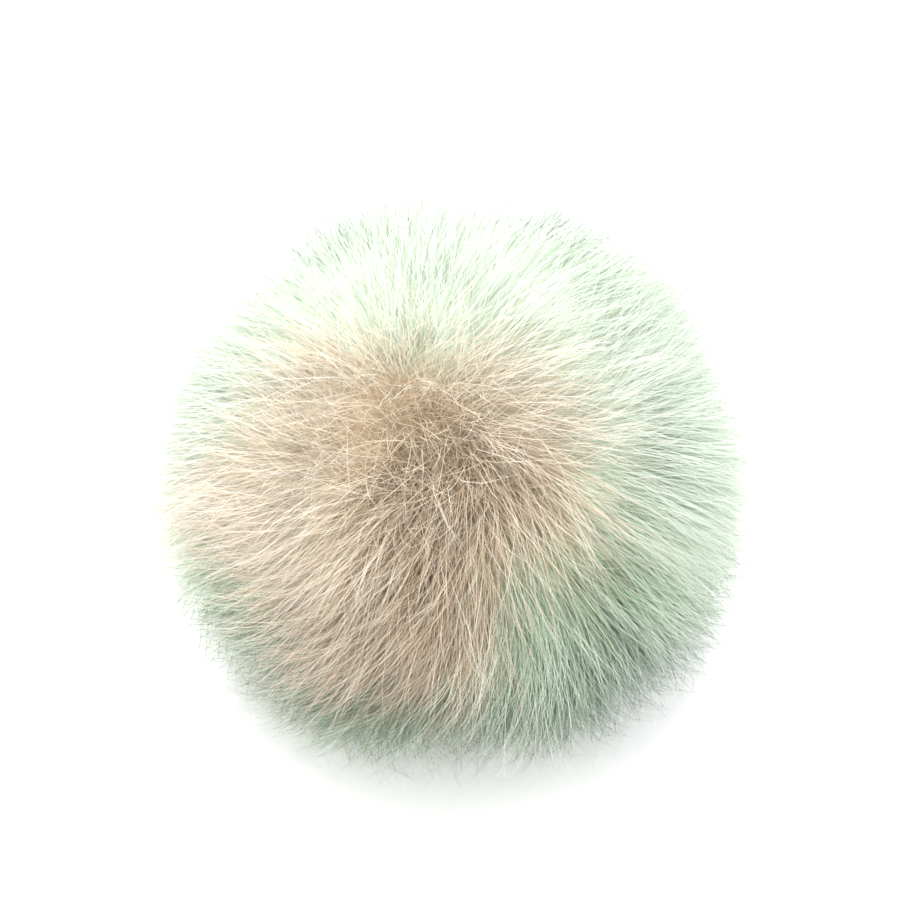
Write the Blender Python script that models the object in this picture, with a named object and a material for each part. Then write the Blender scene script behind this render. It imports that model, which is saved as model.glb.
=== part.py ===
"""A long-haired fur pom pom, resting on its gathered side. Metres, +Z up, origin on the floor under its middle.

The skin is a stuffed ball. Each face of a geodesic ball is the root of one lock of fur, which leaves the skin
straight, then leans away from the parting and sags. Below, the fur is pressed short against the floor.
"""

import math
import random

import bmesh
import bpy
from mathutils import Quaternion, Vector

# Driving sizes, in metres.
SKIN_RADIUS = 0.032
FUR_REACH = 0.0775  # from the middle of the skin ball to the tips, sideways
MIDDLE = Vector((-0.0002, -0.0015, 0.057))  # the middle of the skin ball
FLATNESS = 0.87  # height against width: the ball sags under its own weight
SLUMP = 0.10  # and is wider low down than high up, by up to this share either way
FLOOR_SOFTNESS = 0.010  # below this height the fur bends level instead of going down
PRESSED_DEPTH = 0.004  # a lock that would end this far under the floor is pressed short instead

# The fur points straight out along a short parting that starts at the whorl, and leans away from it elsewhere.
WHORL_HEIGHT_DEG = 42.0  # above the horizon, facing -Y
WHORL_TURN_DEG = -4.5  # towards -X
PARTING_END_HEIGHT_DEG = 54.0
PARTING_END_TURN_DEG = -22.0
SWEEP = 0.80  # radians: how strongly the tips lean away from the parting
SWEEP_BEND = 1.4  # 1 leans evenly from the root, more keeps the root upright
SWEEP_AT_CELL = 0.5  # the share of the sweep at which each lock is right over its own face of the geodesic ball
SAG = 0.16  # radians: how far the tips hang down
SAG_BEND = 2.0

# The locks.
GEODESIC_STEPS = 3  # 320 faces: 20 round the bottom are pressed into one foot, and 300 are left for locks
CELL_SPREAD = 0.045  # how far the corners of the geodesic ball stray, so that no two locks are alike
LENGTH_SPREAD = 0.07
TIP_SPREAD = 0.45  # how far a tip strays, as a share of the lock's own width
SEED = 7

# Rings of corners along a lock: how far along it they lie, and their share of the width that is free there.
LOCK_RINGS = (
    {"along": 0.03, "width": 0.88},
    {"along": 0.28, "width": 0.91},
    {"along": 0.54, "width": 0.86},
    {"along": 0.76, "width": 0.73},
    {"along": 0.91, "width": 0.47},
)
PRESSED_END_WIDTH = 0.55
FOOT_WIDTH = 0.90

# The dyes, from the middle of the pattern outwards.
DYES = (
    {"name": "beige_fur", "colour": (0.60, 0.48, 0.35)},
    {"name": "mint_fur", "colour": (0.62, 0.80, 0.60)},
    {"name": "blue_grey_fur", "colour": (0.45, 0.52, 0.50)},
)
FUR_ROUGHNESS = 0.6

# How far from the whorl the beige and the mint fur end, in degrees, by direction round it: 0 right, 90 up.
DYE_ENDS = (
    {"round": 0, "beige": 19, "mint": 84},
    {"round": 20, "beige": 21, "mint": 82},
    {"round": 45, "beige": 30, "mint": 80},
    {"round": 75, "beige": 21, "mint": 65},
    {"round": 105, "beige": 25, "mint": 65},
    {"round": 135, "beige": 42, "mint": 78},
    {"round": 165, "beige": 44, "mint": 88},
    {"round": 185, "beige": 57, "mint": 92},
    {"round": 225, "beige": 46, "mint": 90},
    {"round": 255, "beige": 45, "mint": 96},
    {"round": 285, "beige": 43, "mint": 90},
    {"round": 315, "beige": 22, "mint": 56},
    {"round": 330, "beige": 27, "mint": 64},
    {"round": 345, "beige": 22, "mint": 78},
    {"round": 360, "beige": 19, "mint": 84},
)

UP = Vector((0.0, 0.0, 1.0))


def clear_scene():
    for item in list(bpy.data.objects):
        bpy.data.objects.remove(item, do_unlink=True)


def direction_at(height_deg, turn_deg):
    height = math.radians(height_deg)
    turn = math.radians(turn_deg)
    level = math.cos(height)
    return Vector((level * math.sin(turn), -level * math.cos(turn), math.sin(height)))


WHORL = direction_at(WHORL_HEIGHT_DEG, WHORL_TURN_DEG)
PARTING_END = direction_at(PARTING_END_HEIGHT_DEG, PARTING_END_TURN_DEG)


def nearest_on_parting(direction):
    run = PARTING_END - WHORL
    share = (direction - WHORL).dot(run) / run.dot(run)
    return (WHORL + run * min(max(share, 0.0), 1.0)).normalized()


def turned_from(pole, direction, angle):
    """The direction, turned away from the pole by the angle."""
    axis = pole.cross(direction)
    if axis.length < 1e-9:
        return direction
    return Quaternion(axis, angle) @ direction


def unbent_point(cell, along):
    """Where the fur of this cell of the ball is at this share of its length, with no floor."""
    pole = nearest_on_parting(cell)
    from_pole = cell.angle(pole)
    swept = along**SWEEP_BEND - SWEEP_AT_CELL
    lean = SWEEP * swept * (math.sin(from_pole) + math.sin(2 * from_pole) / 2) / 2
    direction = turned_from(pole, cell, lean)
    sag = SAG * along**SAG_BEND * math.sin(direction.angle(UP))
    direction = turned_from(UP, direction, sag)
    radius = SKIN_RADIUS + (FUR_REACH - SKIN_RADIUS) * along
    level = 1 - SLUMP * direction.z
    return MIDDLE + Vector((direction.x * level, direction.y * level, direction.z * FLATNESS)) * radius


def fur_point(cell, along):
    """The same, with the fur bent level above the floor."""
    point = unbent_point(cell, along)
    if point.z < FLOOR_SOFTNESS:
        point.z = FLOOR_SOFTNESS * math.exp(point.z / FLOOR_SOFTNESS - 1)
    return point


def length_to_floor(cell):
    """The share of its length at which a pressed lock meets the floor."""
    low, high = 0.0, 1.2
    for _ in range(30):
        middle = (low + high) / 2
        if unbent_point(cell, middle).z > 0:
            low = middle
        else:
            high = middle
    return low


def on_floor(point):
    return Vector((point.x, point.y, 0.0))


def shrunk(corners, centre, width):
    """The corners of a lock's cell, drawn towards this centre, as directions from the middle of the ball."""
    return [(centre + (corner - centre) * width).normalized() for corner in corners]


def extrude_ring(mesh, cap, points):
    """Extrudes one face and moves the new one's corners to the points."""
    cap = bmesh.ops.extrude_discrete_faces(mesh, faces=[cap])["faces"][0]
    for vertex, point in zip(cap.verts, points):
        vertex.co = point
    return cap


def grow_lock(mesh, face, draw):
    """Grows one lock of fur from its face of the skin."""
    corners = [vertex.co.normalized() for vertex in face.verts]
    centre = sum(corners, Vector()).normalized()
    length = 1 + draw.uniform(-LENGTH_SPREAD, LENGTH_SPREAD)
    stray = (corners[draw.randrange(3)] - centre) * draw.uniform(0, TIP_SPREAD)
    pressed = unbent_point(centre, length).z < -PRESSED_DEPTH
    if pressed:
        length = length_to_floor(centre)
    cap = face
    for ring in LOCK_RINGS:
        moved = centre if pressed else centre + stray * (1 - ring["width"])
        points = [fur_point(way, ring["along"] * length) for way in shrunk(corners, moved, ring["width"])]
        cap = extrude_ring(mesh, cap, points)
    if pressed:
        ends = [on_floor(fur_point(way, length)) for way in shrunk(corners, centre, PRESSED_END_WIDTH)]
        extrude_ring(mesh, cap, ends)
    else:
        tip = bmesh.ops.poke(mesh, faces=[cap])["verts"][0]
        tip.co = fur_point((centre + stray).normalized(), length)


def press_foot(mesh, faces):
    """Presses the fur at the bottom into one flat foot on the floor."""
    made = bmesh.ops.extrude_face_region(mesh, geom=faces)["geom"]
    bottom = -UP
    for vertex in [item for item in made if isinstance(item, bmesh.types.BMVert)]:
        way = (bottom + (vertex.co.normalized() - bottom) * FOOT_WIDTH).normalized()
        vertex.co = on_floor(unbent_point(way, length_to_floor(way)))
    bmesh.ops.delete(mesh, geom=faces, context="FACES")


def end_of(dye, round_deg):
    """How far from the whorl, in degrees, this dye ends in this direction round it."""
    for row, following in zip(DYE_ENDS, DYE_ENDS[1:]):
        if round_deg <= following["round"]:
            share = (round_deg - row["round"]) / (following["round"] - row["round"])
            return row[dye] + (following[dye] - row[dye]) * share
    return DYE_ENDS[-1][dye]


def dye_of(cell):
    """The number of the dye in the fur of this cell."""
    right = UP.cross(WHORL).normalized()
    above = WHORL.cross(right)
    round_deg = math.degrees(math.atan2(cell.dot(above), cell.dot(right))) % 360
    away_deg = math.degrees(cell.angle(WHORL))
    return sum(away_deg > end_of(dye, round_deg) for dye in ("beige", "mint"))


def fur_material(dye):
    material = bpy.data.materials.new(dye["name"])
    material.use_nodes = True
    shader = material.node_tree.nodes["Principled BSDF"]
    shader.inputs["Base Color"].default_value = (*dye["colour"], 1.0)
    shader.inputs["Roughness"].default_value = FUR_ROUGHNESS
    shader.inputs["Metallic"].default_value = 0.0
    material.diffuse_color = (*dye["colour"], 1.0)
    return material


def make_pom_pom():
    mesh = bmesh.new()
    bmesh.ops.create_icosphere(mesh, subdivisions=GEODESIC_STEPS, radius=1.0)
    skin = list(mesh.verts)
    lowest = min(skin, key=lambda vertex: vertex.co.z)
    around = {edge.other_vert(lowest) for edge in lowest.link_edges}
    foot = [face for face in mesh.faces if around & set(face.verts)]
    roots = [face for face in mesh.faces if face not in foot]
    draw = random.Random(SEED)
    for vertex in skin:
        astray = Vector([draw.uniform(-CELL_SPREAD, CELL_SPREAD) for _ in range(3)])
        vertex.co = (vertex.co + astray).normalized()
    for face in mesh.faces:
        face.material_index = dye_of(face.calc_center_median().normalized())
    for face in roots:
        grow_lock(mesh, face, draw)
    press_foot(mesh, foot)
    for vertex in skin:
        if vertex.is_valid:
            vertex.co = fur_point(vertex.co.copy(), 0.0)
    bmesh.ops.recalc_face_normals(mesh, faces=mesh.faces)
    data = bpy.data.meshes.new("pom_pom")
    mesh.to_mesh(data)
    mesh.free()
    for dye in DYES:
        data.materials.append(fur_material(dye))
    pom_pom = bpy.data.objects.new("pom_pom", data)
    bpy.context.scene.collection.objects.link(pom_pom)


clear_scene()
make_pom_pom()
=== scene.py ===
import math

import bpy
import numpy as np
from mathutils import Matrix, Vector
from mathutils.kdtree import KDTree


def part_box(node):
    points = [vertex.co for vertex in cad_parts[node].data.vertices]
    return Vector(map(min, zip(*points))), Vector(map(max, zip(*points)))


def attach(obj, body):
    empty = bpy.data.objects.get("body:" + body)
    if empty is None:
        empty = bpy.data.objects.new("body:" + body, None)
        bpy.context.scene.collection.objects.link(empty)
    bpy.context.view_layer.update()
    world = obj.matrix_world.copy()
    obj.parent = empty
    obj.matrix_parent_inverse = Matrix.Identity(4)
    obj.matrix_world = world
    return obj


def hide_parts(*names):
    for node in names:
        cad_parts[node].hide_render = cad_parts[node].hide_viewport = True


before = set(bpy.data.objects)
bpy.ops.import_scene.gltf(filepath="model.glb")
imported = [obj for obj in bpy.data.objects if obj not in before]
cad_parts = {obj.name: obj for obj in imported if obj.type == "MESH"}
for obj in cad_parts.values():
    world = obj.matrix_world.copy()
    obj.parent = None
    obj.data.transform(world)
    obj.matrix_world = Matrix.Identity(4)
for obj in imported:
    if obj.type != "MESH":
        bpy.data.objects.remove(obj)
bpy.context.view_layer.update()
low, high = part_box("pom_pom")
print("frame loaded")

# the ball of fur, in metres and radians, with the solid's own proportions
ballWidth = high.x - low.x
ball = {
    "middle": np.array([-0.0002, -0.0015, 0.4583 * (high.z - low.z)]),
    "skin": 0.2009 * ballWidth,  # radius of the stuffed skin
    "reach": 0.4645 * ballWidth,  # middle to the tips, sideways
    "flatness": 0.87,  # height against width
    "slump": 0.10,  # wider low down than high up, by up to this share either way
    "floorSoftness": 0.010,  # fur lower than this bends level
    "splay": 0.35,  # how far pressed fur is pushed outwards
    "widest": 0.084,  # pressed fur and loose hairs bend back past this distance from the middle
    "bendBack": 0.006,  # and reach at most this much further
    "whorlHeight": 42.0,  # degrees above the horizon
    "whorlTurn": -4.5,
    "partingHeight": 54.0,  # the parting runs on from the whorl to here
    "partingTurn": -22.0,
    "sweepBend": 1.4,  # 1 leans evenly from the root, more keeps the root upright
    "sweepAtCell": 0.5,  # the share of the sweep at which a hair is right over its own root
    "flare": 0.30,  # hairs lie over more steeply beside the parting, by this much at flareAt
    "flareAt": 0.25,
    "flareSpread": 0.3,
    "sag": 0.16,  # how far the tips hang down
}
up = np.array([0.0, 0.0, 1.0])
fullTurn = 6.28
lowestPath = 0.0004  # the middle of a hair comes no nearer to the floor
lowestCorner = 0.0002


def unit(vectors):
    return vectors / np.maximum(np.linalg.norm(vectors, axis=-1, keepdims=True), 1e-9)


def wayOf(height, turn):
    # turn 0 faces the camera's side, -Y
    height, turn = math.radians(height), math.radians(turn)
    return np.array([math.cos(height) * math.sin(turn), -math.cos(height) * math.cos(turn), math.sin(height)])


whorl = wayOf(ball["whorlHeight"], ball["whorlTurn"])
partingEnd = wayOf(ball["partingHeight"], ball["partingTurn"])


def dots(ways, others):
    return np.clip((ways * others).sum(axis=-1), -1, 1)


def nearness(ways, others, spread):
    # 1 where the ways are the same, and it fades out over the spread, in radians
    return np.exp(-((np.arccos(dots(ways, others)) / spread) ** 2))


def partedFrom(ways):
    # the nearest place of the parting, for each of these ways
    run = partingEnd - whorl
    share = np.clip((ways - whorl) @ run / (run @ run), 0, 1)
    return unit(whorl + share[:, None] * run)


def turnedFrom(poles, ways, angles):
    away = unit(ways * dots(ways, poles)[:, None] - poles)
    return ways * np.cos(angles)[:, None] + away * np.sin(angles)[:, None]


def furPlaces(cells, bends, along, length, sweep):
    # where fur of these cells, bent aside this much, is at this share of its way out
    poles = partedFrom(cells)
    fromParting = np.arccos(dots(cells, poles))
    flow = (np.sin(fromParting) + np.sin(2 * fromParting) / 2) / 2
    fade = np.exp(-((fromParting / ball["flareSpread"]) ** 2))
    flow += ball["flare"] * fromParting / ball["flareAt"] * fade
    lean = sweep * (along ** ball["sweepBend"] - ball["sweepAtCell"]) * flow
    ways = unit(turnedFrom(poles, cells, lean) + bends)
    fromTop = np.arccos(np.clip(ways[:, 2], -1, 1))
    ways = turnedFrom(up, ways, ball["sag"] * along**2 * np.sin(fromTop))
    radius = ball["skin"] + (ball["reach"] - ball["skin"]) * along * length
    level = 1 - ball["slump"] * ways[:, 2]
    squash = np.stack([level, level, np.full_like(level, ball["flatness"])], axis=1)
    places = ball["middle"] + ways * squash * radius[:, None]
    # near the floor it splays and lies level
    soft = ball["floorSoftness"]
    depth = np.maximum(soft - places[:, 2], 0)
    outwards = unit(places[:, :2] - ball["middle"][:2])
    places[:, :2] += outwards * (ball["splay"] * depth)[:, None]
    past = np.maximum(np.linalg.norm(places[:, :2] - ball["middle"][:2], axis=1) - ball["widest"], 0)
    kept = ball["bendBack"] * (1 - np.exp(-past / ball["bendBack"]))
    places[:, :2] -= outwards * (past - kept)[:, None]
    places[:, 2] = np.where(depth > 0, soft * np.exp(-depth / soft), places[:, 2])
    return places


def straightFur(ways, along):
    # where fur of the full length lies that nothing bends aside
    plain = np.ones(len(ways))
    return furPlaces(ways, 0, along, plain, plain)


# roots: most in front, on top and along the parting, fewest under the ball
rooting = {
    "back": 0.42, "front": 0.58, "frontHeight": 35,  # shares, and the front's height in degrees
    "underFrom": 0.75, "underFade": 5, "underLoss": 0.6,
    "parting": 4.0, "partingSpread": 0.35,
    "stray": 0.35,  # how far roots stray from an even spacing
}


def evenWays(count):
    turns = np.arange(count)
    heights = 1 - 2 * (turns + 0.5) / count
    around = turns * math.pi * (3 - math.sqrt(5))
    flat = np.sqrt(1 - heights**2)
    return np.stack([flat * np.cos(around), flat * np.sin(around), heights], axis=1)


def furCells(count, draw):
    # twice as many even directions as hairs, thinned by chance
    ways = evenWays(count * 2)
    ways = unit(ways + draw.normal(0, rooting["stray"] / math.sqrt(count), ways.shape))
    front = np.clip(0.5 + ways @ wayOf(rooting["frontHeight"], 0), 0, 1)
    under = np.clip((-ways[:, 2] - rooting["underFrom"]) * rooting["underFade"], 0, 1)
    parted = nearness(ways, partedFrom(ways), rooting["partingSpread"])
    wanted = rooting["back"] + rooting["front"] * front
    wanted = wanted * (1 - rooting["underLoss"] * under) * (1 + rooting["parting"] * parted)
    order = np.argsort(draw.random(len(ways)) / wanted)
    return ways[np.sort(order[:count])]


def nearest(centres, ways):
    tree = KDTree(len(centres))
    for number, centre in enumerate(centres):
        tree.insert(centre, number)
    tree.balance()
    return np.array([tree.find(way)[1] for way in ways])


# the dyed patches: how far from the whorl each ends, in degrees, by direction round it (0 right, 90 up)
patchNames = ["Beige", "Mint", "Slate"]
patchEnds = [
    {"round": 0, "Beige": 25, "Mint": 84},
    {"round": 20, "Beige": 27, "Mint": 82},
    {"round": 45, "Beige": 31, "Mint": 80},
    {"round": 60, "Beige": 27, "Mint": 72},
    {"round": 75, "Beige": 25, "Mint": 65},
    {"round": 105, "Beige": 25, "Mint": 65},
    {"round": 120, "Beige": 31, "Mint": 70},
    {"round": 135, "Beige": 42, "Mint": 78},
    {"round": 165, "Beige": 40, "Mint": 88},
    {"round": 185, "Beige": 63, "Mint": 92},
    {"round": 225, "Beige": 40, "Mint": 90},
    {"round": 255, "Beige": 41, "Mint": 96},
    {"round": 285, "Beige": 43, "Mint": 88},
    {"round": 300, "Beige": 31, "Mint": 74},
    {"round": 315, "Beige": 19, "Mint": 50},
    {"round": 330, "Beige": 17, "Mint": 58},
    {"round": 345, "Beige": 30, "Mint": 74},
    {"round": 360, "Beige": 25, "Mint": 84},
]


def roundAndAway(ways):
    right = unit(np.cross(up, whorl))
    above = np.cross(whorl, right)
    away = np.degrees(np.arccos(dots(ways, whorl)))
    return np.degrees(np.arctan2(ways @ above, ways @ right)) % 360, away


def pastPatchEnds(ways):
    # how far past the end of the beige and of the mint patch these ways are, in degrees
    turn, away = roundAndAway(ways)
    rounds = [row["round"] for row in patchEnds]
    return [away - np.interp(turn, rounds, [row[name] for row in patchEnds]) for name in patchNames[:-1]]


def patchOf(ways, stray):
    return sum((past + stray > 0).astype(int) for past in pastPatchEnds(ways))


# where the fur is darker (share above 0), by painted shade and deeper dye, or paler (below 0), by painted
# light: degrees, and the spread in radians
shadeLightAndDyeSpots = [
    {"height": 12, "turn": 33, "spread": 0.20, "share": 0.62},  # painted shade under the beige patch's right corner, with deeper dye
    {"height": -8, "turn": -43, "spread": 0.20, "share": 0.68},  # painted shade under its left corner, with deeper dye
    {"height": -22, "turn": -6, "spread": 0.36, "share": 1.00},  # painted shade along the lower edge, with deeper dye
    {"height": -14, "turn": 37, "spread": 0.20, "share": 0.15},  # painted shade at the lower right, with deeper dye
    {"height": 42, "turn": -4.5, "spread": 0.16, "share": 0.20},  # painted shade in the hollow of the whorl
    {"height": 38, "turn": 19, "spread": 0.12, "share": 0.38},  # darker right of it
    {"height": 57, "turn": -20, "spread": 0.18, "share": 0.12},  # painted shade along the parting
    {"height": 11, "turn": -2, "spread": 0.26, "share": 0.15},  # darker below the whorl
    {"height": 18, "turn": -45, "spread": 0.45, "share": -0.42},  # painted light on the beige patch's left
    {"height": 80, "turn": 0, "spread": 0.60, "share": -0.55},  # painted light on the top
    {"height": 50, "turn": -75, "spread": 0.40, "share": -0.30},  # painted light on the upper left
    {"height": 30, "turn": 68, "spread": 0.55, "share": -0.50},  # painted light on the right side
    {"height": 8, "turn": -76, "spread": 0.50, "share": -0.50},  # painted light on the left side
]
# darker under the ball: painted shade on the underside, with deeper dye there too
undersideShadeAndDye = {"below": -0.02, "fade": 1.6, "most": 0.6}
# how far painted light may pale the fur, and how far painted shade and deeper dye may darken it
shadeLightAndDyeLimits = {"paintedLight": 0.6, "deepest": 0.9}


def paintedShadeLightAndDyeOf(ways):
    # above 0 the fur is darker, by painted shade and deeper dye; below 0 it is paler, by painted light
    total = np.clip((undersideShadeAndDye["below"] - ways[:, 2]) * undersideShadeAndDye["fade"], 0, undersideShadeAndDye["most"])
    for spot in shadeLightAndDyeSpots:
        total = total + spot["share"] * nearness(ways, wayOf(spot["height"], spot["turn"]), spot["spread"])
    return np.clip(total, -shadeLightAndDyeLimits["paintedLight"], shadeLightAndDyeLimits["deepest"])


# where the pile was combed aside: degrees, and in radians the spread and how far the tips go right and up
combed = [
    {"height": 30, "turn": 21, "spread": 0.28, "right": -0.20, "up": -0.09},
    {"height": -6, "turn": 22, "spread": 0.30, "right": -0.13, "up": 0.0},
    {"height": 11, "turn": -5, "spread": 0.30, "right": -0.12, "up": 0.0},
    {"height": -17, "turn": -7, "spread": 0.28, "right": -0.42, "up": 0.24},
    {"height": 28, "turn": -49, "spread": 0.35, "right": 0.0, "up": 0.22},
    {"height": -6, "turn": -45, "spread": 0.30, "right": -0.12, "up": 0.34},
    {"height": 38, "turn": 66, "spread": 0.35, "right": 0.0, "up": 0.10},
    {"height": 17, "turn": 59, "spread": 0.28, "right": 0.0, "up": -0.17},
    {"height": 48, "turn": 27, "spread": 0.25, "right": 0.0, "up": -0.09},
]


def combedAside(ways):
    total = np.zeros(ways.shape)
    for place in combed:
        way = wayOf(place["height"], place["turn"])
        right = unit(np.cross(up, way))
        aside = right * place["right"] + np.cross(way, right) * place["up"]
        total += aside * nearness(ways, way, place["spread"])[:, None]
    return total


# the pile parts again under the beige patch's right corner: hairs lean away from this line to both sides
notch = {"round": 319.0, "away": 42.0, "width": 13.0, "length": 17.0, "lean": 0.12}


def notchLean(ways):
    turn, away = roundAndAway(ways)
    across = (turn - notch["round"] + 180) % 360 - 180
    near = np.exp(-((across / notch["width"] / 2) ** 2) - ((away - notch["away"]) / notch["length"]) ** 2)
    return unit(np.cross(whorl, ways)) * (notch["lean"] * np.tanh(across / notch["width"]) * near)[:, None]


# beside it the underfur lies bare: the guard hairs are short there
bareSpot = {"height": 13, "turn": 33, "spread": 0.17}

# hairs lean together in wisps, and wisps in locks about 13 mm apart at the tips
clumps = {
    "locks": 420, "lockPull": 0.14, "lockTilt": 0.045, "lockLength": 0.06,
    "lockStray": 0.02, "wispStray": 0.008,  # how far their middles stray from an even spacing
    "clumpBend": 1.5,  # 1 draws them together evenly from the root, more does it near the tips
    "seenAt": 0.85,  # the share of its length where a hair shows most: its dye, painted shade, painted light and combing are of that place
    "calming": 1.3,  # fur paled by painted light lies more evenly
    "whorlHollow": 0.12, "tangleSpread": 0.22,  # along the parting fur is shorter, and in disorder
    "drift": 0.04, "driftScale": 5.0, "driftWaves": 4, "driftSeed": 3,  # slow changes of direction
    "uneven": 0.8,  # and of length
    "sweepByWisp": 0.12, "sweepByHair": 0.08,
    "edgeByClump": 2.5, "edgeByHair": 2.0,  # degrees by which the edges of the patches stray
    "plainPaleness": 0.55, "evenness": 1.5,  # fur paled by painted light is less mottled
}
rim = {"below": -0.05, "fade": 3.5, "most": 0.8}  # the ends curl low down on the ball
looseHair = {"longest": 1.12, "pull": 0.1, "tilt": 2.0, "paler": 0.2}  # a loose hair leaves its wisp
tipBend = {"from": 0.6, "aside": 1.2, "hook": 2}  # where along a hair its tip starts to bend, and how late
hairSpread = {"thickness": (0.75, 1.25), "waves": (0.6, 1.4), "waveSize": (0.3, 1.7), "wavePhase": 0.7}


def drifted(ways):
    draw = np.random.default_rng(clumps["driftSeed"])
    total = np.zeros(ways.shape)
    for _ in range(clumps["driftWaves"]):
        waveNumber = draw.normal(0, clumps["driftScale"], 3)
        total += draw.normal(0, 1, 3) * np.sin(ways @ waveNumber + draw.random() * fullTurn)[:, None]
    return total * clumps["drift"]


def makeHairs(kind, draw):
    # the path of every hair, its patch and how pale it is
    cells = furCells(kind["count"], draw)
    count = len(cells)
    locks, wisps = evenWays(clumps["locks"]), evenWays(kind["wisps"])
    locks = unit(locks + draw.normal(0, clumps["lockStray"], locks.shape))
    wisps = unit(wisps + draw.normal(0, clumps["wispStray"], wisps.shape))
    inLock, inWisp = nearest(locks, cells), nearest(wisps, cells)
    tangled = nearness(cells, partedFrom(cells), clumps["tangleSpread"])
    lying = unit(straightFur(cells, np.full(count, clumps["seenAt"])) - ball["middle"])
    # painted shade and deeper dye darken this place where above 0, painted light pales it where below 0
    paintedShadeLightAndDye = paintedShadeLightAndDyeOf(lying)
    paintedLight = np.maximum(-paintedShadeLightAndDye, 0)
    calm = 1 - clumps["calming"] * paintedLight

    # which way each hair leans and hooks
    lockTilt = draw.normal(0, clumps["lockTilt"], locks.shape)[inLock] * calm[:, None]
    wispTilt = draw.normal(0, kind["wispTilt"], wisps.shape)[inWisp] * calm[:, None]
    hairTilt = draw.normal(0, kind["tilt"], cells.shape)
    hairTilt *= 1 + kind["tangle"] * tangled[:, None]
    curled = tangled + kind["rimCurl"] * np.clip((rim["below"] - lying[:, 2]) * rim["fade"], 0, rim["most"])
    hook = draw.normal(0, kind["wispHook"], wisps.shape)[inWisp]
    hook += draw.normal(0, kind["hook"], cells.shape) * (1 + kind["hookTangle"] * curled[:, None])
    drift = drifted(cells)
    aside = notchLean(cells) + combedAside(lying)

    # how long it is
    length = kind["length"] * (1 + draw.normal(0, clumps["lockLength"], len(locks))[inLock])
    length *= 1 + draw.normal(0, kind["wispLength"], len(wisps))[inWisp]
    length *= 1 + draw.normal(0, kind["lengthSpread"], count)
    bareness = nearness(lying, wayOf(bareSpot["height"], bareSpot["turn"]), bareSpot["spread"])
    length *= 1 - clumps["whorlHollow"] * tangled - kind["bare"] * bareness + clumps["uneven"] * drift[:, 2]
    sweep = 1 + draw.normal(0, clumps["sweepByWisp"], len(wisps))[inWisp]
    sweep = kind["sweep"] * (sweep + draw.normal(0, clumps["sweepByHair"], count))
    loose = draw.random(count) < kind["loose"] * (1 - tangled) ** 3
    length = np.where(loose, length * draw.uniform(1.0, looseHair["longest"], count), length)
    length = np.minimum(length, kind["longest"])
    pull = np.where(loose, looseHair["pull"], calm)[:, None]
    hairTilt = np.where(loose[:, None], hairTilt * looseHair["tilt"], hairTilt)

    # how it waves
    waveWay = unit(np.cross(cells, draw.normal(0, 1, cells.shape)))
    wavePhase = (draw.random(len(wisps)) * fullTurn)[inWisp] + draw.normal(0, hairSpread["wavePhase"], count)
    waves = kind["waves"] * draw.uniform(*hairSpread["waves"], count)
    waveSize = kind["wave"] * draw.uniform(*hairSpread["waveSize"], count)
    rings = np.linspace(kind["from"], 1, kind["rings"])
    paths = np.empty((count, len(rings), 3))
    for number, along in enumerate(rings):
        ramp = along ** clumps["clumpBend"]
        bends = (locks[inLock] - cells) * clumps["lockPull"] * ramp * pull
        bends += (wisps[inWisp] - cells) * kind["wispPull"] * ramp * pull
        bends += (lockTilt + wispTilt + drift) * ramp + hairTilt * along**2
        late = max((along - tipBend["from"]) / (1 - tipBend["from"]), 0)
        bends += aside * late ** tipBend["aside"] + hook * late ** tipBend["hook"]
        places = furPlaces(cells, bends, np.full(count, along), length, sweep)
        wave = np.sin(along * waves * fullTurn + wavePhase) * waveSize * along
        paths[:, number] = places + waveWay * wave[:, None]
    paths[:, :, 2] = np.maximum(paths[:, :, 2], lowestPath)

    # its colour: dye and mottle, with painted shade and painted light
    stray = draw.normal(0, clumps["edgeByClump"], len(locks))[inLock]
    stray += draw.normal(0, clumps["edgeByClump"], len(wisps))[inWisp]
    stray += draw.normal(0, clumps["edgeByHair"], count)
    mottle = draw.normal(0, kind["wispMottle"], len(wisps))[inWisp] + draw.normal(0, kind["mottle"], count)
    mottle *= 1 - clumps["evenness"] * paintedLight
    # the whorl's share is painted shade along the whorl and parting, and the spots add painted shade with
    # deeper dye, and painted light
    paleness = clumps["plainPaleness"] + looseHair["paler"] * loose + mottle - kind["whorlShade"] * tangled
    paleness -= np.where(paintedShadeLightAndDye > 0, kind["shadeAndDyeTakesIn"], 1.0) * paintedShadeLightAndDye
    return paths, patchOf(cells, stray), np.clip(paleness, 0, 0.999)


# the map that every hair is laid out on: each takes one of many narrow columns, by how pale it is. Across a
# column nothing changes, and up it runs root to tip
hairMap = {"columns": 96, "edge": 0.15, "width": 0.7, "root": 0.01, "tip": 0.99}


def oneHair(rings):
    # the corners of one hair's faces, the place of each on the map, and how many corners each face has
    quads, quadPlaces, ends, endPlaces = [], [], [], []
    heights = np.linspace(hairMap["root"], hairMap["tip"], rings)
    for ring in range(rings - 2):
        below, above = heights[ring], heights[ring + 1]
        for corner in range(3):
            first, second = ring * 3 + corner, ring * 3 + (corner + 1) % 3
            quads += [first, second, second + 3, first + 3]
            quadPlaces += [(0, below), (1, below), (1, above), (0, above)]
    base = (rings - 2) * 3
    for corner in range(3):
        ends += [base + corner, base + (corner + 1) % 3, base + 3]
        endPlaces += [(0, heights[-2]), (1, heights[-2]), (0.5, heights[-1])]
    ends += [2, 1, 0]
    endPlaces += [(0, 0.0), (1, 0.0), (0.5, hairMap["root"])]
    sizes = [4] * (len(quads) // 4) + [3] * (len(ends) // 3)
    return np.array(quads + ends), np.array(quadPlaces + endPlaces), np.array(sizes)


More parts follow.
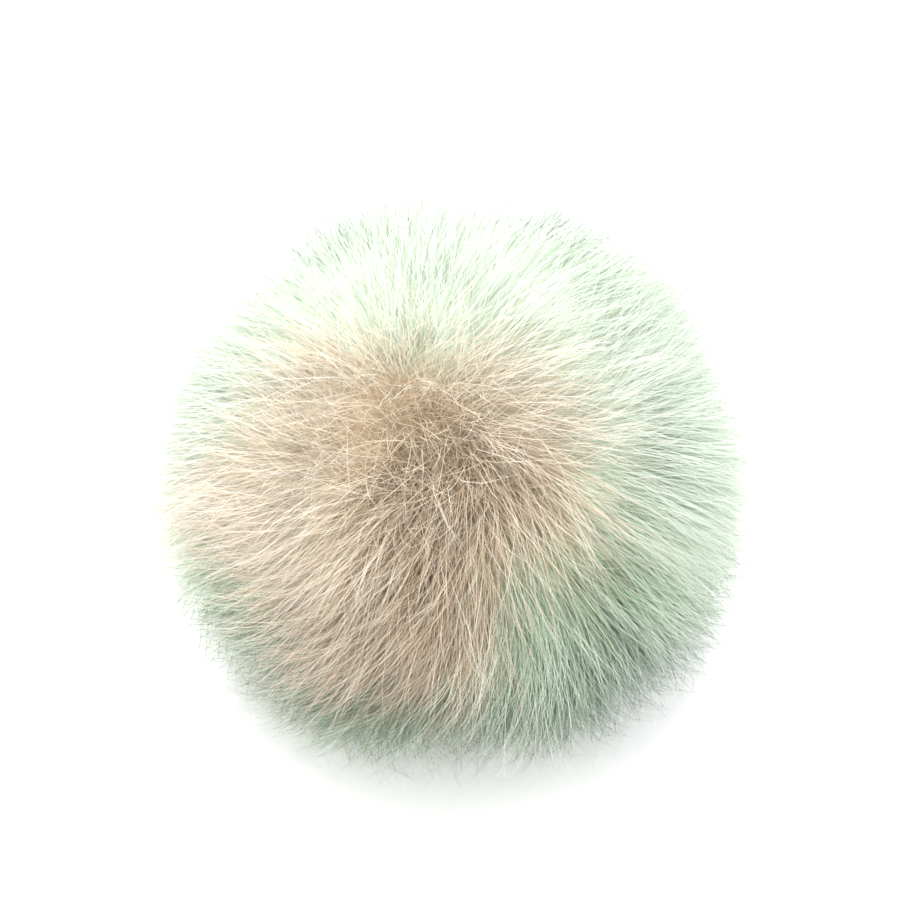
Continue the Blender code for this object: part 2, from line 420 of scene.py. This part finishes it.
def hairMesh(name, paths, paleness, kind, draw):
    # closed three-sided hairs that end in a point
    count, rings = paths.shape[:2]
    along = unit(np.gradient(paths, axis=1))
    side = unit(np.cross(along, unit(paths - ball["middle"])))
    other = np.cross(side, along)
    turn = draw.random(count) * fullTurn
    thick = kind["thickness"] * draw.uniform(*hairSpread["thickness"], count)
    radius = thick[:, None] / 2 * np.array(kind["shape"])[None, :]
    corners = np.empty((count, rings - 1, 3, 3))
    for corner in range(3):
        angle = turn + corner * 2 * math.pi / 3
        offset = side * np.cos(angle)[:, None, None] + other * np.sin(angle)[:, None, None]
        corners[:, :, corner] = (paths + offset * radius[:, :, None])[:, :-1]
    points = np.concatenate([corners.reshape(count, -1, 3), paths[:, -1:]], axis=1).reshape(-1, 3)
    points[:, 2] = np.maximum(points[:, 2], lowestCorner)

    # one hair's faces, repeated for all
    loops, places, sizes = oneHair(rings)
    hairs = np.arange(count)[:, None]
    numbers = loops[None] + hairs * ((rings - 1) * 3 + 1)
    starts = (np.cumsum(sizes) - sizes)[None] + hairs * len(loops)
    mesh = bpy.data.meshes.new(name)
    mesh.vertices.add(len(points))
    mesh.vertices.foreach_set("co", points.astype(np.float32).ravel())
    mesh.loops.add(numbers.size)
    mesh.loops.foreach_set("vertex_index", numbers.astype(np.int32).ravel())
    mesh.polygons.add(starts.size)
    mesh.polygons.foreach_set("loop_start", starts.astype(np.int32).ravel())
    mesh.polygons.foreach_set("loop_total", np.tile(sizes, count).astype(np.int32))
    columns = np.floor(paleness * hairMap["columns"])[:, None]
    uv = np.empty((count, len(loops), 2))
    uv[:, :, 0] = (columns + hairMap["edge"] + hairMap["width"] * places[None, :, 0]) / hairMap["columns"]
    uv[:, :, 1] = places[None, :, 1]
    layer = mesh.uv_layers.new(name="OFBake")
    layer.data.foreach_set("uv", uv.astype(np.float32).ravel())
    mesh.update(calc_edges=True)
    mesh.validate()
    mesh.shade_smooth()
    piece = bpy.data.objects.new(name, mesh)
    bpy.context.scene.collection.objects.link(piece)
    return piece


# materials
def linear(hexColour):
    parts = [int(hexColour[at : at + 2], 16) / 255 for at in (1, 3, 5)]
    return [p / 12.92 if p <= 0.04045 else ((p + 0.055) / 1.055) ** 2.4 for p in parts] + [1.0]


def addNode(tree, kind, inputs, **settings):
    node = tree.nodes.new("ShaderNode" + kind)
    for name, value in settings.items():
        setattr(node, name, value)
    for name, value in inputs.items():
        if isinstance(value, bpy.types.NodeSocket):
            tree.links.new(value, node.inputs[name])
        else:
            node.inputs[name].default_value = value
    return node


# fur, bleached and then dyed: the flat scales of the keratin give the eye a satin sheen, and the dye stays
# strongest at the root, so the tips look frosted
furFinish = {"Roughness": 0.45, "IOR": 1.55, "Sheen Weight": 0.25, "Sheen Roughness": 0.5}
colourSteps = {
    "rootEnds": 0.55, "tipStarts": 0.5,  # shares of the drawn part of a hair
    "paleFrom": 0.55, "darkFrom": 0.4,  # how pale a hair is from which it turns to its pale colour, of paler hairs and painted light, or its dark colour, of deeper dye and painted shade
}


def furMaterial(name, colours, tipStaysPale):
    material = bpy.data.materials.new(name)
    material.use_nodes = True
    tree = material.node_tree
    shader = tree.nodes["Principled BSDF"]
    # a Mix of colours takes its share at 0 and the colours at 6 and 7, and gives the new one at 2
    place = addNode(tree, "UVMap", {}, uv_map="OFBake")
    split = addNode(tree, "SeparateXYZ", {0: place.outputs[0]})
    lower = addNode(tree, "MapRange", {"Value": split.outputs[1], "From Min": 0.0,
                                       "From Max": colourSteps["rootEnds"]}, interpolation_type="SMOOTHSTEP")
    upper = addNode(tree, "MapRange", {"Value": split.outputs[1], "From Min": colourSteps["tipStarts"],
                                       "From Max": 1.0}, interpolation_type="SMOOTHSTEP")
    body = addNode(tree, "Mix", {0: lower.outputs[0], 6: linear(colours["root"]), 7: linear(colours["body"])},
                   data_type="RGBA")
    hair = addNode(tree, "Mix", {0: upper.outputs[0], 6: body.outputs[2], 7: linear(colours["tip"])},
                   data_type="RGBA")
    # the pale colour is that of paler hairs and of painted light, the dark one that of deeper dye and of
    # painted shade
    pale = addNode(tree, "MapRange", {"Value": split.outputs[0], "From Min": colourSteps["paleFrom"],
                                      "From Max": 1.0, "To Max": colours["paleShare"]})
    paled = addNode(tree, "Mix", {0: pale.outputs[0], 6: hair.outputs[2], 7: linear(colours["pale"])},
                    data_type="RGBA")
    dark = addNode(tree, "MapRange", {"Value": split.outputs[0], "From Min": colourSteps["darkFrom"],
                                      "From Max": 0.0, "To Max": colours["darkShare"]})
    clean = addNode(tree, "MapRange", {"Value": upper.outputs[0], "To Min": 1.0, "To Max": 1 - tipStaysPale})
    taken = addNode(tree, "Math", {0: dark.outputs[0], 1: clean.outputs[0]}, operation="MULTIPLY")
    dyed = addNode(tree, "Mix", {0: taken.outputs[0], 6: paled.outputs[2], 7: linear(colours["dark"])},
                   data_type="RGBA")
    tree.links.new(dyed.outputs[2], shader.inputs["Base Color"])
    for socket, value in furFinish.items():
        shader.inputs[socket].default_value = value
    return material


# guard hair: the long, pale, outer hairs, in wisps about 3 mm apart at the tips. Real ones are 0.05 to 0.1 mm
# thick, under half a pixel, so they are drawn a little thicker
guardHair = {
    "material": "dyed guard hair",
    "count": 27000, "rings": 4, "from": 0.64,  # drawn from this share of its length on, just inside the wool
    "length": 1.06, "lengthSpread": 0.13, "longest": 1.30, "bare": 0.24,
    "thickness": 0.000125, "shape": [1.0, 1.0, 0.8, 0.0],  # metres, and the share of it at each ring
    "tilt": 0.085, "sweep": 0.95, "loose": 0.12, "tangle": 0.40,
    "hook": 0.05, "hookTangle": 0.8, "rimCurl": 1.8, "wave": 0.0010, "waves": 2.0,
    "wisps": 7000, "wispPull": 0.30, "wispTilt": 0.045, "wispLength": 0.05, "wispHook": 0.05,
    # the whorl value is painted shade along the whorl and parting; the next is how much painted shade and
    # deeper dye reach the hair
    "mottle": 0.30, "wispMottle": 0.05, "whorlShade": 0.24, "shadeAndDyeTakesIn": 0.75, "tipStaysPale": 0.80,
    # dark: deeper dye and painted shade; pale: paler hairs and painted light
    "colours": [
        {"root": "#cbb18c", "body": "#eeddc2", "tip": "#fbf2e2", "pale": "#fdf7ec", "dark": "#906e49",
         "paleShare": 0.8, "darkShare": 0.85},
        {"root": "#c6e2bf", "body": "#e1eeda", "tip": "#eff5e9", "pale": "#edf5ea", "dark": "#718a61",
         "paleShare": 0.8, "darkShare": 0.9},
        {"root": "#7f9087", "body": "#a9b7ad", "tip": "#dde5dd", "pale": "#eff3f1", "dark": "#6d8077",
         "paleShare": 0.8, "darkShare": 0.9},
    ],
}
# underfur: the soft, short, strongly dyed hairs, in wisps about 2 mm apart. Real ones are about 0.02 mm thick,
# too fine to show, so each one drawn stands for a small bunch
underfur = {
    "material": "dyed underfur",
    "count": 48000, "rings": 3, "from": 0.70,
    "length": 0.95, "lengthSpread": 0.11, "longest": 1.15, "bare": 0.0,
    "thickness": 0.00015, "shape": [1.0, 0.8, 0.0],
    "tilt": 0.09, "sweep": 0.9, "loose": 0.0, "tangle": 0.5,
    "hook": 0.04, "hookTangle": 1.3, "rimCurl": 1.2, "wave": 0.0007, "waves": 1.6,
    "wisps": 14000, "wispPull": 0.18, "wispTilt": 0.03, "wispLength": 0.05, "wispHook": 0.03,
    # the whorl value is painted shade along the whorl and parting; the next is how much painted shade and
    # deeper dye reach the hair
    "mottle": 0.21, "wispMottle": 0.03, "whorlShade": 0.32, "shadeAndDyeTakesIn": 1.15, "tipStaysPale": 0.0,
    # dark: deeper dye and painted shade; pale: paler hairs and painted light
    "colours": [
        {"root": "#c3a985", "body": "#dac4a3", "tip": "#ebd9bd", "pale": "#f6e8d0", "dark": "#8a6a48",
         "paleShare": 0.7, "darkShare": 0.85},
        {"root": "#b4dba9", "body": "#d2eac9", "tip": "#e5f3de", "pale": "#edf5e9", "dark": "#3b5a30",
         "paleShare": 0.7, "darkShare": 0.9},
        {"root": "#7f9088", "body": "#9aa89f", "tip": "#b9c4bc", "pale": "#e4eae7", "dark": "#44564d",
         "paleShare": 0.7, "darkShare": 0.9},
    ],
}
mostTriangles = 199000  # a piece with more is split


def growFur(label, kind, seed):
    draw = np.random.default_rng(seed)
    paths, patch, paleness = makeHairs(kind, draw)
    most = mostTriangles // ((kind["rings"] - 2) * 6 + 4)
    for number, colours in enumerate(kind["colours"]):
        patchName = patchNames[number]
        material = furMaterial(kind["material"] + ", " + patchName.lower(), colours, kind["tipStaysPale"])
        mine = np.flatnonzero(patch == number)
        shares = math.ceil(len(mine) / most)
        for share in range(shares):
            name = label + patchName + ("" if shares == 1 else str(share + 1))
            chosen = mine[share::shares]
            piece = hairMesh(name, paths[chosen], paleness[chosen], kind, draw)
            piece.data.materials.append(material)
            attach(piece, "root")
            print(name, len(chosen), "hairs")


growFur("guardHair", guardHair, 11)
growFur("underfur", underfur, 12)

# wool: the matted underfur that closes the ball below the hairs. It is dull and lumpy, a soft floor to the gaps
# between the hairs. Its strands are too fine to show, so tufts up to 0.7 mm wide and 7 mm long are drawn
wool = {
    "along": 0.70, "steps": 6, "seed": 13, "roughness": 0.9,
    "wisps": 4600, "lockLump": 0.06, "wispLump": 0.04, "tuftStray": 0.25, "tuftHeight": (0.4, 1.3),
    "hollow": 0.06, "hollowSpread": 0.3,  # it lies lower along the parting
    # it lies higher where painted light pales it, and along the parting painted shade darkens it
    "paleFill": 0.12, "patchFade": 12.0, "partingShade": 0.5,
    "strandScale": 90.0, "strandLength": 0.1, "strandDetail": 4.0,
    "darkest": 0.6, "lightest": 1.2,  # what the strands do to the dye
    # dark: deeper dye and painted shade; pale: painted light
    "colours": ["#bba68a", "#b3cfac", "#8a9a91"],
    "dark": ["#786149", "#334c2d", "#3b4b43"],
    "pale": "#eef5ea",
}


def woolDyeShadeAndLight(ways, parted):
    # the patches' colours run into each other in the wool; painted shade, with deeper dye, darkens it and
    # painted light pales it
    toMint, toSlate = (np.clip(past / wool["patchFade"] + 0.5, 0, 1) for past in pastPatchEnds(ways))
    shares = np.stack([1 - toMint, toMint * (1 - toSlate), toMint * toSlate], 1)
    plain = shares @ np.array([linear(colour) for colour in wool["colours"]])
    dark = shares @ np.array([linear(colour) for colour in wool["dark"]])
    pale = np.array(linear(wool["pale"]))
    # painted shade along the parting and at the spots, with deeper dye, darkens it; painted light pales it
    shadeLightAndDye = (paintedShadeLightAndDyeOf(ways) + wool["partingShade"] * parted)[:, None]
    dyed = plain + (dark - plain) * np.clip(shadeLightAndDye, 0, shadeLightAndDyeLimits["deepest"])
    return dyed + (pale - plain) * np.clip(-shadeLightAndDye, 0, shadeLightAndDyeLimits["paintedLight"])


def woolMaterial():
    material = bpy.data.materials.new("matted underwool")
    material.use_nodes = True
    tree = material.node_tree
    shader = tree.nodes["Principled BSDF"]
    # the wool's colour, with its painted shade and painted light
    dyeShadeAndLightNode = addNode(tree, "VertexColor", {}, layer_name="dyeShadeAndLight")
    spot = addNode(tree, "Attribute", {}, attribute_name="strand")
    fluff = addNode(tree, "TexNoise", {"Vector": spot.outputs["Vector"], "Scale": wool["strandScale"],
                                       "Detail": wool["strandDetail"]})
    depth = addNode(tree, "MapRange", {"Value": fluff.outputs[0], "From Min": 0.3, "From Max": 0.7,
                                       "To Min": wool["darkest"], "To Max": wool["lightest"]})
    shade = addNode(tree, "Mix", {0: 1.0, 6: dyeShadeAndLightNode.outputs[0], 7: depth.outputs[0]}, data_type="RGBA",
                    blend_type="MULTIPLY")
    tree.links.new(shade.outputs[2], shader.inputs["Base Color"])
    shader.inputs["Roughness"].default_value = wool["roughness"]
    return material


def makeWool():
    bpy.ops.mesh.primitive_ico_sphere_add(subdivisions=wool["steps"], radius=1)
    piece = bpy.context.object
    piece.name = "underwool"
    mesh = piece.data
    ways = np.empty(len(mesh.vertices) * 3, np.float32)
    mesh.vertices.foreach_get("co", ways)
    ways = unit(ways.reshape(-1, 3).astype(float))
    draw = np.random.default_rng(wool["seed"])
    # where painted light pales the wool, it also lies higher and more evenly
    paintedLight = np.maximum(-paintedShadeLightAndDyeOf(ways), 0)
    calm = 1 - clumps["calming"] * paintedLight
    along = wool["along"] + wool["paleFill"] * paintedLight
    for count, lump in ((clumps["locks"], wool["lockLump"]), (wool["wisps"], wool["wispLump"])):
        tufts = unit(evenWays(count) + draw.normal(0, wool["tuftStray"] / math.sqrt(count), (count, 3)))
        tall = draw.uniform(*wool["tuftHeight"], count)
        inTuft = nearest(tufts, ways)
        apart = np.linalg.norm(ways - tufts[inTuft], axis=1) * math.sqrt(count) / 2
        along = along + lump * calm * tall[inTuft] * (1 - apart**2)
    parted = nearness(ways, partedFrom(ways), wool["hollowSpread"])
    along -= wool["hollow"] * parted
    mesh.vertices.foreach_set("co", straightFur(ways, along).astype(np.float32).ravel())
    # its colour, with the painted shade and painted light
    dyeShadeAndLight = mesh.color_attributes.new("dyeShadeAndLight", "FLOAT_COLOR", "POINT")
    dyeShadeAndLight.data.foreach_set("color", woolDyeShadeAndLight(ways, parted).astype(np.float32).ravel())
    # strands run away from the whorl: the noise is fine round it and long away from it
    around, away = np.radians(roundAndAway(ways))
    strands = np.stack([np.cos(around), np.sin(around), away * wool["strandLength"]], 1)
    strand = mesh.attributes.new("strand", "FLOAT_VECTOR", "POINT")
    strand.data.foreach_set("vector", strands.astype(np.float32).ravel())
    mesh.shade_smooth()
    mesh.materials.append(woolMaterial())
    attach(piece, "root")
    return piece


woolAtSkin = makeWool()
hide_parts("pom_pom")
print("wool made")

# floor, light and camera
studio = {
    "viewHeight": 43.0, "distance": 0.62, "lens": 100.0, "aimUp": 0.0016, "aimRight": -0.0005,
    "ambient": 1.25, "lamp": 9.5, "lampSize": 0.8, "lampPlace": (-0.08, 0.22, 0.80),
    "tableSize": 6, "tableColour": "#ffffff", "tableRoughness": 0.9, "tableGlow": 0.32,
}
bpy.ops.mesh.primitive_plane_add(size=studio["tableSize"])
floor = bpy.context.object
floor.name = "floor"
acrylic = bpy.data.materials.new("backlit white acrylic")  # a light table: its glow keeps the shadow pale
acrylic.use_nodes = True
table = acrylic.node_tree.nodes["Principled BSDF"].inputs
table["Base Color"].default_value = linear(studio["tableColour"])
table["Roughness"].default_value = studio["tableRoughness"]
table["Emission Color"].default_value = linear(studio["tableColour"])
table["Emission Strength"].default_value = studio["tableGlow"]
floor.data.materials.append(acrylic)

world = bpy.data.worlds.new("studio")
bpy.context.scene.world = world
world.use_nodes = True
backdrop = world.node_tree.nodes["Background"].inputs
backdrop["Color"].default_value = (1, 1, 1, 1)
backdrop["Strength"].default_value = studio["ambient"]

middle = Vector(ball["middle"])
lamp = bpy.data.objects.new("softbox", bpy.data.lights.new("softbox", "AREA"))
lamp.data.energy = studio["lamp"]
lamp.data.size = studio["lampSize"]
lamp.location = studio["lampPlace"]
lamp.rotation_euler = (middle - lamp.location).to_track_quat("-Z", "Y").to_euler()
bpy.context.scene.collection.objects.link(lamp)

towards = Vector(wayOf(studio["viewHeight"], 0))
rightward = Vector((1, 0, 0))
aim = middle + towards.cross(rightward) * studio["aimUp"] + rightward * studio["aimRight"]
camera = bpy.data.objects.new("camera", bpy.data.cameras.new("camera"))
camera.data.lens = studio["lens"]
camera.location = aim + towards * studio["distance"]
camera.rotation_euler = (-towards).to_track_quat("-Z", "Y").to_euler()
bpy.context.scene.collection.objects.link(camera)
bpy.context.scene.camera = camera
bpy.context.scene.view_settings.view_transform = "Standard"
print("studio set up")
